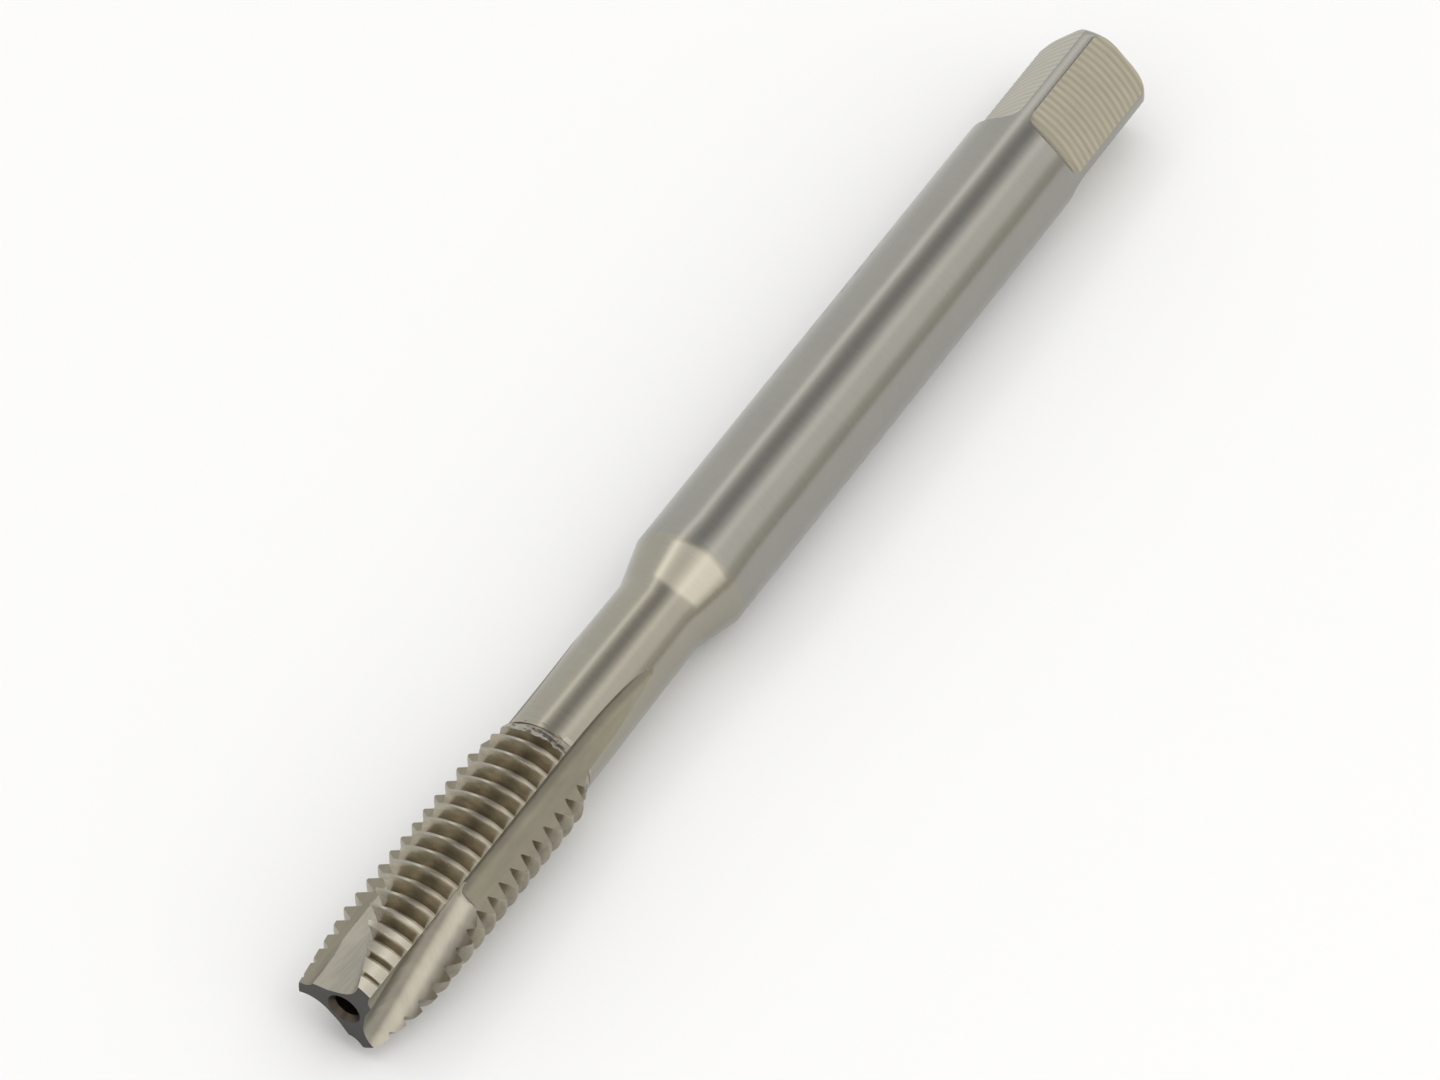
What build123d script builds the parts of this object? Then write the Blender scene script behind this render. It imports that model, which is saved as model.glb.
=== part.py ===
from build123d import *
import os
from math import acos, asin, cos, degrees, radians, sin, sqrt, tan

# A machine thread tap, M8 x 1.25 right hand, with three straight flutes, a spiral
# point and a reinforced shank.  It is ground from one bar of high speed steel.
# Millimetres.  The axis of the tap is the X axis and the origin is the middle of
# the cutting end: +X runs to the driving end, and +Z is up when the tap lies on
# its shank with one flute underneath.  Angles are about +X, from +Y towards +Z.
# A right hand tap turns towards smaller angles when it cuts.
# The flutes and the gashes are drawn in a frame of their own, in which the
# cutting face is upright, and each is then turned into its place.

# ---- lengths, measured from the cutting end ----
overall_length = 90.0
chamfer_length = 5.2
thread_length = 20.4
neck_start = 22.2
neck_end = 35.6
cone_end = 39.0
square_length = 8.8

# ---- diameters ----
thread_diameter = 8.06
thread_root_diameter = 6.40
tip_diameter = 6.70
neck_front_diameter = 6.47
neck_back_diameter = 6.13
shank_diameter = 7.98
end_chamfer = 0.65

# ---- cutting thread: a V groove along a right hand helix ----
pitch = 1.25
thread_angle = 60.0
groove_root_width = 0.13
groove_first_x = 0.81
groove_last_x = 22.4
turns_ahead_of_tip = 2
chamfer_relief = 0.18

# ---- flutes: two ground walls that meet in a round corner ----
flute_count = 3
cutting_wall_offset = 1.97
heel_wall_offset = 0.80
flute_corner_radius = 0.9
flute_turn = -126.5
flute_straight_length = 22.5
flute_wheel_radius = 45.0
flute_wheel_turn = 14.0

# ---- spiral point: a round gash that leans across each cutting face ----
gash_radius = 1.80
gash_axis_across = 0.36
gash_axis_up = 3.26
gash_lean_across = 0.346
gash_lean_up = -0.143
gash_flank_angle = 11.0
gash_length = 10.6
gash_floor_up = 1.27
gash_floor_angle = 6.5
gash_above_heel_wall = 0.03

# ---- driving square ----
square_width = 6.2
square_turn = 40.7
square_cutter_radius = 1.5

# ---- centre holes, with 60 degree mouths ----
center_angle = 60.0
drill_point_angle = 118.0
tip_center_mouth = 2.3
tip_center_bore = 1.8
tip_center_depth = 2.4
back_center_mouth = 2.6
back_center_bore = 1.3
back_center_depth = 3.2

# ---- how far the cutters reach beyond the metal ----
groove_overlap = 0.08
clearance = 2.0

thread_radius = thread_diameter / 2
shank_radius = shank_diameter / 2
outside_radius = thread_radius + clearance
land_step = 360 / flute_count
square_sides = 4
cross_section = Plane(origin=(0, 0, 0), x_dir=(0, 1, 0), z_dir=(1, 0, 0))
side_view = Plane(origin=(0, 0, 0), x_dir=(1, 0, 0), z_dir=(0, -1, 0))


def turned(outline):
    """The solid that an outline of (x, radius) points turns about the X axis."""
    return revolve(make_face(Polyline(outline, close=True)), Axis.X)


def value_at(start, end, x):
    """The value at x on the straight line through two (x, value) points."""
    slope = (end[1] - start[1]) / (end[0] - start[0])
    return start[1] + slope * (x - start[0])


def threaded_bar():
    """A plain bar, longer than the tap, with the thread groove cut into it.

    Both ends of the groove are inside the bar; the cuts that follow trim them.
    """
    root = thread_root_diameter / 2
    top = thread_radius + groove_overlap
    half_root = groove_root_width / 2
    half_top = half_root + (top - root) * tan(radians(thread_angle / 2))
    ahead = turns_ahead_of_tip * pitch
    start = groove_first_x - ahead
    path = Helix(pitch, groove_last_x - start, root, center=(start, 0, 0), direction=(1, 0, 0))
    section = Polyline(
        (-half_root, root),
        (-half_top, top),
        (half_top, top),
        (half_root, root),
        close=True,
    )
    groove = sweep(Pos(start, 0, 0) * side_view * make_face(section), path=path, is_frenet=True)
    front = -ahead - clearance
    back = overall_length + clearance
    bar = turned([(front, 0), (front, thread_radius), (back, thread_radius), (back, 0)])
    return bar - groove


def land_middle():
    """The angle of the middle of a land, in the frame of the flute before it."""
    cutting_edge = degrees(acos(cutting_wall_offset / thread_radius))
    heel_edge = land_step + degrees(asin(heel_wall_offset / thread_radius))
    return (cutting_edge + heel_edge) / 2


def chamfer_cutter():
    """The ring that points one land of the thread and squares off its end.

    The ring is moved sideways by the relief, so that the chamfer falls away
    from the cutting edge to the heel of the land.
    """
    tip = (0, tip_diameter / 2)
    full_thread = (chamfer_length, thread_radius)
    front = -turns_ahead_of_tip * pitch - 2 * clearance
    back = chamfer_length + clearance
    ring = turned([
        (front, 0),
        (0, 0),
        tip,
        (back, value_at(tip, full_thread, back)),
        (back, outside_radius),
        (front, outside_radius),
    ])
    reach = 2 * outside_radius
    side = reach * tan(radians(land_step / 2))
    wedge = make_face(Polyline((0, 0), (reach, -side), (reach, side), close=True))
    sector = Pos(front, 0, 0) * extrude(cross_section * wedge, back - front)
    return (Pos(0, 0, -chamfer_relief) * ring) & sector


def body_cutter():
    """The ring that leaves the run-out, the neck, the shank and the driving end."""
    full_thread = (thread_length, thread_radius)
    neck = (neck_start, neck_front_diameter / 2)
    front = thread_length - clearance
    beyond = overall_length + 2 * clearance
    return turned([
        (front, value_at(full_thread, neck, front)),
        neck,
        (neck_end, neck_back_diameter / 2),
        (cone_end, shank_radius),
        (overall_length - end_chamfer, shank_radius),
        (overall_length, shank_radius - end_chamfer),
        (overall_length, 0),
        (beyond, 0),
        (beyond, 2 * outside_radius),
        (front, 2 * outside_radius),
    ])


def flute_cutter():
    """A straight flute that a grinding wheel leaves in an arc over the neck."""
    corner = Rectangle(outside_radius, outside_radius, align=(Align.MIN, Align.MIN))
    inner = corner.vertices().sort_by_distance((0, 0, 0))[0]
    section = cross_section * Pos(cutting_wall_offset, heel_wall_offset) * fillet(inner, flute_corner_radius)
    straight = Pos(-clearance, 0, 0) * extrude(section, flute_straight_length + clearance)
    wheel_up = flute_wheel_radius / sqrt(2)
    wheel_axis = Axis(
        (flute_straight_length, cutting_wall_offset + wheel_up, heel_wall_offset + wheel_up),
        (0, -1, 1),
    )
    run_out = revolve(Pos(flute_straight_length, 0, 0) * section, wheel_axis, flute_wheel_turn)
    return straight + run_out


def gash_cutter():
    """The spiral point: a round trough that leaves the land as it leans across.

    A wheel with a round edge leaves the trough.  Its lower flank falls away in a
    straight line, and both stop on a floor, which slopes down to the heel wall.
    """
    lean = Vector(1, gash_lean_across, gash_lean_up)
    wheel_path = Plane(
        origin=(0, gash_axis_across, gash_axis_up),
        x_dir=(-gash_lean_across, 1, 0),
        z_dir=lean,
    )
    flank = radians(gash_flank_angle)
    foot = (-gash_radius * sin(flank), -gash_radius * cos(flank))
    far = outside_radius
    outline = [
        ThreePointArc((0, gash_radius), (-gash_radius, 0), foot),
        Polyline(foot, (far, foot[1] - (far - foot[0]) * tan(flank)), (far, gash_radius), (0, gash_radius)),
    ]
    ahead = 2 * clearance
    trough = extrude(Pos(0, 0, -ahead) * make_face(outline), gash_length * lean.length + ahead)
    fall = tan(radians(gash_floor_angle))
    back = gash_length + clearance
    level = heel_wall_offset + gash_above_heel_wall
    above_floor = make_face(Polyline(
        (-clearance, gash_floor_up + clearance * fall),
        ((gash_floor_up - level) / fall, level),
        (back, level),
        (back, outside_radius),
        (-clearance, outside_radius),
        close=True,
    ))
    return (wheel_path * trough) & extrude(side_view * above_floor, 2 * outside_radius, both=True)


def square_cutter():
    """The cut for one flat, with the round shoulder that the milling cutter leaves."""
    shoulder = overall_length - square_length
    back = overall_length + clearance
    flat = square_width / 2
    top = flat + 2 * square_cutter_radius
    outline = [
        ThreePointArc(
            (shoulder, top),
            (shoulder - square_cutter_radius, flat + square_cutter_radius),
            (shoulder, flat),
        ),
        Polyline((shoulder, flat), (back, flat), (back, top), (shoulder, top)),
    ]
    return extrude(side_view * make_face(outline), outside_radius, both=True)


def center_hole(mouth, bore, depth):
    """A centre hole in the cutting end: a 60 degree mouth, a bore and a drill point."""
    mouth_slope = tan(radians(center_angle / 2))
    mouth_depth = (mouth - bore) / 2 / mouth_slope
    drill_point = bore / 2 / tan(radians(drill_point_angle / 2))
    return turned([
        (-clearance, 0),
        (-clearance, mouth / 2 + clearance * mouth_slope),
        (mouth_depth, bore / 2),
        (depth, bore / 2),
        (depth + drill_point, 0),
    ])


def around(cutter, count, first_turn):
    """Copies of a cutter, evenly spaced around the axis of the tap."""
    return [Rot(X=first_turn + index * 360 / count) * cutter for index in range(count)]


def tap():
    """The whole tap, cut from one bar in the order in which it is made."""
    body = threaded_bar()
    for cutter in around(chamfer_cutter(), flute_count, flute_turn + land_middle()):
        body -= cutter
    body -= body_cutter()
    body -= around(flute_cutter(), flute_count, flute_turn)
    body -= around(gash_cutter(), flute_count, flute_turn)
    body -= around(square_cutter(), square_sides, square_turn)
    body -= center_hole(tip_center_mouth, tip_center_bore, tip_center_depth)
    back_hole = center_hole(back_center_mouth, back_center_bore, back_center_depth)
    body -= Pos(overall_length, 0, 0) * Rot(Z=180) * back_hole
    return body


os.makedirs("parts", exist_ok=True)
export_step(tap(), "parts/tap.step")
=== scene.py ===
# %% [markdown]
# # A machine thread tap, ground from one bar
# A tap cuts an internal thread.  Its front end is a screw with three flutes ground
# through it, and the edges that they leave are the cutting edges.  Boolean modifiers
# could cut it out of a cylinder, but they leave ragged edges and uneven faces.  This
# lesson works the whole tool out as one surface, gives each ground face its own
# finish, and sets the tap on a white table.

import bpy
import numpy as np
from mathutils import Matrix, Vector
from mathutils.geometry import delaunay_2d_cdt


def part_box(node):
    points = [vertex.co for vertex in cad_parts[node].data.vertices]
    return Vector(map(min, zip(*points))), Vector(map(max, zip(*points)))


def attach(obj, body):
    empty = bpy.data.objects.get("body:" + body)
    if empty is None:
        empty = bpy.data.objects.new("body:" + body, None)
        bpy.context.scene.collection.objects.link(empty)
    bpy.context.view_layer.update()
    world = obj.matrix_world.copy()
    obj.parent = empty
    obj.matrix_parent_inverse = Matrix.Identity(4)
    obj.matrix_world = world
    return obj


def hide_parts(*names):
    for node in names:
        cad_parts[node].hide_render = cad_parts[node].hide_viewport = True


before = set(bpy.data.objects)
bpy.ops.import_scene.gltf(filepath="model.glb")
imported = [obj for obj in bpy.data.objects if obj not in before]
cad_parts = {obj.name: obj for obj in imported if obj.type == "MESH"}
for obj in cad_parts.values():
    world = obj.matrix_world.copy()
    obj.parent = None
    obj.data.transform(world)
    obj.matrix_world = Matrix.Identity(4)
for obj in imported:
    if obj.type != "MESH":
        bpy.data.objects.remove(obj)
cad_low, cad_high = (np.array(corner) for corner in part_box("tap"))
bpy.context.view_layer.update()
MM = 0.001
print("the tap is", np.round((cad_high - cad_low) / MM, 2), "mm")

# %% [markdown]
# ## The sizes
# A tap's drawing is in millimetres, so the shape is worked out in millimetres and made
# smaller at the end.  X runs along the axis from the cutting end.  The angle psi goes
# round X, from +Y towards +Z, in degrees, and theta is the same angle counted from a
# flute's own turn.  The length, the thread and the shank come from the frame.

# %% The sizes of the turned bar
total_length = (cad_high[0] - cad_low[0]) / MM
shank_radius = -cad_low[2] / MM
thread_radius = cad_high[2] / MM
root_radius = 3.20
tip_radius = 3.35
neck_front_radius = 3.235
neck_back_radius = 3.065
chamfer_end = 5.2
thread_end = 20.4
neck_start = 22.2
neck_end = 35.6
cone_end = 39.0
end_round = 0.95
relief = 0.18
burr_middle = 21.3
burr_width = 0.35
burr_height = 0.05
burr_sway = 0.12
print("thread", 2 * thread_radius, "mm, shank", 2 * shank_radius, "mm, length", total_length, "mm")

# %% [markdown]
# ## One surface, many cutters
# A tap is turned, threaded, fluted and gashed, and each cutter takes metal off down to
# its own surface.  Here each cutter is a function: the radius that it leaves at a place
# along the axis and an angle round it, for whole arrays at once.  The tap has the
# smallest of these radii.  The first is the grinding of the outside, with the relief
# behind each cutting edge and a low, uneven ridge at the run-out.

# %% What turning and cylindrical grinding leave
FLUTES = 3
STEP = 360 / FLUTES
FLUTE_TURN = -126.5
SEAM = 4.0
LAND_MIDDLE = 96.1
BURR_WAVES = [(7, 1.1, 1.0), (17, 2.3, 1.0), (31, 0.0, 0.7), (53, 0.4, 0.6)]
SWAY_WAVES = 5


def cos_sin(degrees):
    """The cosine and the sine of an angle in degrees."""
    return np.cos(np.radians(degrees)), np.sin(np.radians(degrees))


def flute_angle(psi):
    """The angle theta: from the turn of the flute that cuts there, between two seams."""
    return (psi - FLUTE_TURN - SEAM) % STEP + SEAM


def burr(x, psi):
    """A sum of sines of whole multiples of the angle, under a bell-shaped hump along the axis."""
    turn = np.radians(psi)
    bumps = sum(share * np.sin(waves * turn + phase) for waves, phase, share in BURR_WAVES)
    middle = burr_middle + burr_sway * np.sin(SWAY_WAVES * turn)
    return burr_height * bumps * np.exp(-((x - middle) / burr_width) ** 2)


def turned_radius(x, psi):
    """The smallest of the thread's outside, its chamfer and the turned outline behind it.

    The chamfer is a cone whose centre is moved sideways by the relief for each land,
    so its radius falls by relief times the sine of the angle from the land's middle.
    The driving end is rounded by a quarter of a circle.
    """
    from_land = (psi - FLUTE_TURN - LAND_MIDDLE + STEP / 2) % STEP - STEP / 2
    slope = (thread_radius - tip_radius) / chamfer_end
    cone = tip_radius + slope * x - relief * np.sin(np.radians(from_land))
    lengths = [0, thread_end, neck_start, neck_end, cone_end, total_length]
    radii = [thread_radius, thread_radius, neck_front_radius, neck_back_radius,
             shank_radius, shank_radius]
    outline = np.interp(x, lengths, radii) + burr(x, psi)
    drop = np.clip((x - total_length + end_round) / end_round, 0, 1)
    rounded = shank_radius - end_round * (1 - np.sqrt(1 - drop ** 2))
    return np.minimum(np.minimum(cone, outline), np.where(drop > 0, rounded, np.inf))


print("radius of the shank", turned_radius(np.array(60.0), np.array(0.0)), "mm")

# %% [markdown]
# ## The thread
# The thread is a V groove that winds round the bar.  A screw modifier could wind a
# profile, but not run out into the neck or meet the flutes, so the groove is a cutter
# too.  At a given angle its bottom is at one place in each pitch, and from there the
# radius rises along both flanks.  Near the tip the chamfer cuts the crests off.

# %% What the thread wheel leaves
PITCH = 1.25
FIRST_GROOVE_TURN = 90
flank_angle = np.radians(30)
flank_rise = 1 / np.tan(flank_angle)
groove_half_root = 0.065
groove_first_x = 0.81
groove_last_x = 22.4


def groove_bottom(psi):
    """Where the groove's bottom is: the first place, and one pitch for each whole turn."""
    return groove_first_x + PITCH * (psi - FIRST_GROOVE_TURN) / 360


def groove_radius(x, psi):
    """The root radius plus the flank's rise times the distance from the groove's flat bottom."""
    offset = (x - groove_bottom(psi) + PITCH / 2) % PITCH - PITCH / 2
    radius = root_radius + np.maximum(np.abs(offset) - groove_half_root, 0) * flank_rise
    return np.where(x - offset > groove_last_x, np.inf, radius)


print("turns of thread", round((groove_last_x - groove_first_x) / PITCH, 1))

# %% [markdown]
# ## The flutes
# A flute lets the chips out and makes the cutting edges.  It has two flat walls and a
# round corner, and behind the thread the grinding wheel runs out of the neck along an
# arc.  A swept profile would still have to be cut out of the bar, so the flute is
# worked out as the distance at which a ray from the axis meets it.

# %% What the flute wheel leaves
SMALL = 1e-6
cutting_wall = 1.97
heel_wall = 0.80
corner_radius = 0.9
flute_straight_end = 22.5
wheel_radius = 45.0
wheel_reach = wheel_radius * np.sin(np.radians(14))


def corner_radius_at(theta, across, up):
    """Where a ray at theta enters the corner between the walls y = across and z = up.

    It is the larger of across / cos and up / sin, or the fillet's circle if that comes first.
    """
    cosine, sine = cos_sin(theta)
    to_wall = np.where(cosine > 0, across / np.maximum(cosine, SMALL), np.inf)
    to_heel = np.where(sine > 0, up / np.maximum(sine, SMALL), np.inf)
    radius = np.maximum(to_wall, to_heel)
    centre_y, centre_z = across + corner_radius, up + corner_radius
    in_corner = (radius * cosine < centre_y) & (radius * sine < centre_z)
    middle = cosine * centre_y + sine * centre_z
    distance = centre_y ** 2 + centre_z ** 2 - corner_radius ** 2
    on_fillet = middle - np.sqrt(np.maximum(middle ** 2 - distance, 0))
    return np.where(in_corner & np.isfinite(radius), on_fillet, radius)


def flute_radius(x, psi):
    """The corner's radius; behind the straight flute the corner climbs an arc of the wheel.

    The climb is the wheel's radius less its chord at that place, and a point nearer
    to the wheel's middle climbs a little more, so it is worked out three times.
    """
    theta = flute_angle(psi)
    diagonal = sum(cos_sin(theta)) / np.sqrt(2)
    behind = np.clip(x - flute_straight_end, 0, wheel_reach)
    climb = np.hypot(wheel_radius, behind) - wheel_radius
    for _ in range(3):
        step = climb / np.sqrt(2)
        radius = corner_radius_at(theta, cutting_wall + step, heel_wall + step)
        reach = np.where(np.isfinite(radius), radius, 0)
        inward = wheel_radius + (cutting_wall + heel_wall) / np.sqrt(2) - reach * diagonal
        climb = np.hypot(inward, behind) - inward
    return np.where(behind < wheel_reach, radius, np.inf)


print("a flute is", round(float(corner_radius_at(31, cutting_wall, heel_wall)), 2), "mm from the axis")

# %% [markdown]
# ## The spiral point
# This slanting cut at the tip is a round trough that leans across each cutting face
# and pushes the chips forward.  Its far wall leans over, so a ray from the axis can
# enter it and leave it again inside the bar, and this cutter gives two radii.

# %% What the spiral point's wheel leaves
gash_radius = 1.80
gash_across = 0.36
gash_up = 3.26
gash_lean = np.array([1.0, 0.346, -0.143])
gash_flank = 11.0
gash_floor_up = 1.27
gash_floor_fall = np.tan(np.radians(6.5))
gash_level = heel_wall + 0.03
gash_end = 10.6
LEAN = gash_lean / np.linalg.norm(gash_lean)
SIDE_AXIS = np.array([-gash_lean[1], 1.0, 0.0]) / np.hypot(gash_lean[1], 1.0)
UP_AXIS = np.cross(LEAN, SIDE_AXIS)


def gash_span(x, psi):
    """Where a ray from the axis enters the trough and where it leaves it again.

    In the plane across the trough's lean the ray is a start plus its length times a
    rate, to the side and up.  It enters through the round side or the falling flank,
    above the floor, and leaves through the round side.  If it doesn't, the radius is
    infinite.
    """
    theta = flute_angle(psi)
    cosine, sine = cos_sin(theta)
    start_side, start_up = (axis[0] * x - axis[1] * gash_across - axis[2] * gash_up
                            for axis in (SIDE_AXIS, UP_AXIS))
    rate_side, rate_up = (axis[1] * cosine + axis[2] * sine for axis in (SIDE_AXIS, UP_AXIS))
    foot_up, foot_side = (-gash_radius * part for part in cos_sin(gash_flank))
    fall = foot_side / foot_up
    rise = rate_up + rate_side * fall
    still_to_go = foot_up + foot_side * fall - start_up - start_side * fall
    to_flank = still_to_go / np.where(rise > 0, rise, np.nan)
    past_foot = start_side + rate_side * to_flank > foot_side
    square = rate_side ** 2 + rate_up ** 2
    linear = start_side * rate_side + start_up * rate_up
    rest = start_side ** 2 + start_up ** 2 - gash_radius ** 2
    meets = linear ** 2 - square * rest
    root = np.sqrt(np.where(meets > 0, meets, np.nan))
    into_round, out_of_round = (-linear - root) / square, (-linear + root) / square
    entry = np.where(past_foot, to_flank, into_round)
    leaves = np.where(start_side + rate_side * out_of_round < 0, out_of_round, np.inf)
    floor = np.maximum(gash_floor_up - gash_floor_fall * x, gash_level)
    entry = np.maximum(entry, floor / np.where(sine > 0, sine, np.nan))
    hit = (entry < leaves) & (x < gash_end) & (entry > 0)
    return np.where(hit, entry, np.inf), np.where(hit, leaves, np.inf)


print("the spiral point leans by", np.round(np.degrees(np.arccos(LEAN[0])), 1), "degrees")

# %% [markdown]
# ## The driving square
# Four flats are milled on the shank's end, for the wrench.  The cutter is round, so
# each flat ends in a curved shoulder.  Its coarse, curved marks could be bump alone,
# but they catch the light at the flat's edges, so they are modelled as shallow waves.

# %% What the square's cutter leaves
SIDES_OF_SQUARE = 4
SQUARE_STEP = 360 / SIDES_OF_SQUARE
square_turn = 40.7
flat_height = 3.10
square_start = total_length - 8.8
shoulder_radius = 1.5
mark_spacing = 0.56
mark_depth = 0.014
mark_bow = 0.06


def flat_angle(psi):
    """The angle from the middle of the nearest flat, between -45 and 45 degrees."""
    return (psi - square_turn + SQUARE_STEP / 2) % SQUARE_STEP - SQUARE_STEP / 2


def square_radius(x, psi):
    """The flat's height, or the shoulder's arc in front of it, over the cosine of the angle.

    The marks are a cosine wave along the axis, moved on by the square of the
    distance across the flat, so that their lines are bowed.
    """
    across = np.tan(np.radians(flat_angle(psi))) * flat_height
    before = np.clip(square_start - x, 0, shoulder_radius)
    height = flat_height + shoulder_radius - np.sqrt(shoulder_radius ** 2 - before ** 2)
    waves = np.cos(2 * np.pi * (x - square_start + mark_bow * across ** 2) / mark_spacing)
    height = height - np.where(x > square_start, mark_depth * (0.5 - 0.5 * waves), 0)
    radius = height / np.cos(np.radians(flat_angle(psi)))
    return np.where(x > square_start - shoulder_radius, radius, np.inf)


print("the square is", round(2 * flat_height, 2), "mm across flats")

# %% [markdown]
# ## The outside of the tap
# Away from the flutes the smallest radius gives the shape, and the cutter that it
# belongs to gives the finish, so one stack of layers serves for both.  The first three
# finishes are these cutters', and four more follow.

# %% The outside and its finishes
OUTSIDE_CUTTERS = [turned_radius, groove_radius, square_radius]
FLUTE_WALL, GASH_WALL, END_FACE, CENTER_HOLE = range(3, 7)


def outside_radii(x, psi):
    """One layer for each cutter of the outside."""
    shape = np.broadcast(x, psi).shape
    return np.stack([np.broadcast_to(cutter(x, psi), shape) for cutter in OUTSIDE_CUTTERS])


def outside_radius(x, psi):
    """The smallest of the cutters' radii."""
    return outside_radii(x, psi).min(0)


print("cutters of the outside:", [cutter.__name__ for cutter in OUTSIDE_CUTTERS])

# %% [markdown]
# ## Rows that wind with the thread
# A plain grid would cut across the thread's sharp edges and leave them ragged.  Here
# the rows wind with the helix instead, so that they run along the bottom, the flanks
# and the crest of the thread.

# %% Where the rows of the thread are
THREAD_GRID_END = 22.6
FIRST_TURN, LAST_TURN = -2, 19
SHARES = np.array([0, 0, 1 / 3, 2 / 3, 1, 1, 1, 2 / 3, 1 / 3, 0])
SIDES = np.array([-1, 1, 1, 1, 1, 0, -1, -1, -1, -1])
NEXT_GROOVE = np.array([0, 0, 0, 0, 0, 0, 1, 1, 1, 1])
ROWS_PER_PITCH = SHARES.size


def thread_place(psi):
    """Where along the axis each row of the threaded part is at the angle psi.

    In each pitch they are at both sides of the groove's bottom, up its flank in
    thirds, at the crest's edges and middle, and down the next flank.  The crest's edge
    is where the flank reaches the turned radius, found in four steps.
    """
    turns = np.arange(FIRST_TURN, LAST_TURN + 1)
    turn = np.repeat(turns, ROWS_PER_PITCH)[:, None]
    share, side, following = (np.tile(v, turns.size)[:, None] for v in (SHARES, SIDES, NEXT_GROOVE))
    bottom = groove_bottom(psi) + PITCH * (turn + following)
    half = np.full(bottom.shape, PITCH / 2)
    for _ in range(4):
        height = turned_radius(np.clip(bottom + side * half, 0, THREAD_GRID_END), psi)
        half = np.clip(groove_half_root + (height - root_radius) / flank_rise, groove_half_root, PITCH / 2)
    place = bottom + side * (groove_half_root + share * (half - groove_half_root))
    place = np.where(side == 0, bottom + PITCH / 2, place)
    return np.clip(place, 0, THREAD_GRID_END)


def straight_place(places):
    """A function like thread_place, for rows that lie straight across the axis."""
    def place(psi):
        return np.broadcast_to(np.asarray(places, float)[:, None], (len(places), psi.shape[-1]))
    return place


print("rows of the threaded part:", thread_place(np.zeros((1, 1))).shape[0])

# %% [markdown]
# ## Reading the cutters along a flute
# The columns should lie on the flute's edges, where one cutter's radius passes
# another's.  There is no short formula for that on a winding row, so each row and
# flute gets many samples, and the edge is found between two of them.

# %% Where one cutter passes another
LEG_SAMPLES = 400
HALVINGS = 12
SLIGHT = 0.02


def cuts_at(place, theta):
    """The flute's radius, the gash's two and the land's, at angles of each row and flute."""
    psi = FLUTE_TURN + STEP * np.arange(FLUTES)[:, None] + theta
    x = place(psi.reshape(len(psi), -1)).reshape(-1, FLUTES, theta.shape[-1])
    psi = np.broadcast_to(psi, x.shape)
    entry, leaves = gash_span(x, psi)
    land = np.minimum(turned_radius(x, psi), groove_radius(x, psi))
    return flute_radius(x, psi), entry, leaves, land


def pick(values, index):
    """The sample at an index of its own for each row and flute."""
    return np.take_along_axis(values, index[..., None], -1)[..., 0]


def crossing(theta, gap, inner, outer):
    """The angle between two samples at which the gap is nought, if it changes evenly."""
    near, far = pick(gap, inner), pick(gap, outer)
    share = np.clip(near / np.where(near == far, 1, near - far), 0, 1)
    return pick(theta, inner) + (pick(theta, outer) - pick(theta, inner)) * share


def meets_gash(place, theta):
    """Whether the ray meets the gash inside the bar, and more than slightly before the flute."""
    flute, entry, _, land = cuts_at(place, theta)
    return (entry < land) & (entry < flute - SLIGHT)


def touching_angle(place):
    """The last angle of each row and flute at which a ray meets the gash, and whether one does.

    Halving the step between the last sample that does and the next one finds it.
    Without a gash it is the end of the flute's period.
    """
    theta = np.linspace(SEAM, SEAM + STEP, LEG_SAMPLES)[None, None]
    meets = meets_gash(place, theta)
    index = np.clip(LEG_SAMPLES - 1 - meets[..., ::-1].argmax(-1), 0, LEG_SAMPLES - 2)
    inner, outer = theta[0, 0, index], theta[0, 0, index + 1]
    for _ in range(HALVINGS):
        middle = (inner + outer) / 2
        inside = meets_gash(place, middle[..., None])[..., 0]
        inner, outer = np.where(inside, middle, inner), np.where(inside, outer, middle)
    has_gash = meets.any(-1)
    return np.where(has_gash, inner, SEAM + STEP), has_gash


print("rows with a spiral point, in each flute:", touching_angle(thread_place)[1].sum(0))

# %% [markdown]
# ## The line of a flute's section
# Across a flute a row goes down the heel wall, over the gash and up to the cutting
# edge.  Because the gash's far wall leans over, a radius for each angle is not enough,
# and the line is drawn in three legs.  A leg stops where it meets the land or the next
# leg, and its samples past that point are all moved onto it.

# %% The three legs of the line
FAR = 1.0
TOUCHING = 1e-4


def first_leg(place, theta, touch, has_gash):
    """Out to the touching ray, or to the land, along whichever of flute and gash is deeper."""
    flute, entry, _, land = cuts_at(place, theta)
    gap = np.clip(np.minimum(flute, entry) - land, -FAR, FAR)
    cut = gap < 0
    first = np.clip(cut.argmax(-1), 1, None)
    last = np.clip(LEG_SAMPLES - 1 - cut[..., ::-1].argmax(-1), 0, LEG_SAMPLES - 2)
    heel = crossing(theta, gap, first, first - 1)
    end = np.where(has_gash, touch, crossing(theta, gap, last, last + 1))
    angles = np.clip(theta, heel[..., None], end[..., None])
    flute, entry, _, land = cuts_at(place, angles)
    radii = np.minimum(np.minimum(flute, entry), land)
    in_gash = (entry < flute) & (entry < land)
    return angles, radii, end, in_gash, cut.any((1, 2))


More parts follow.
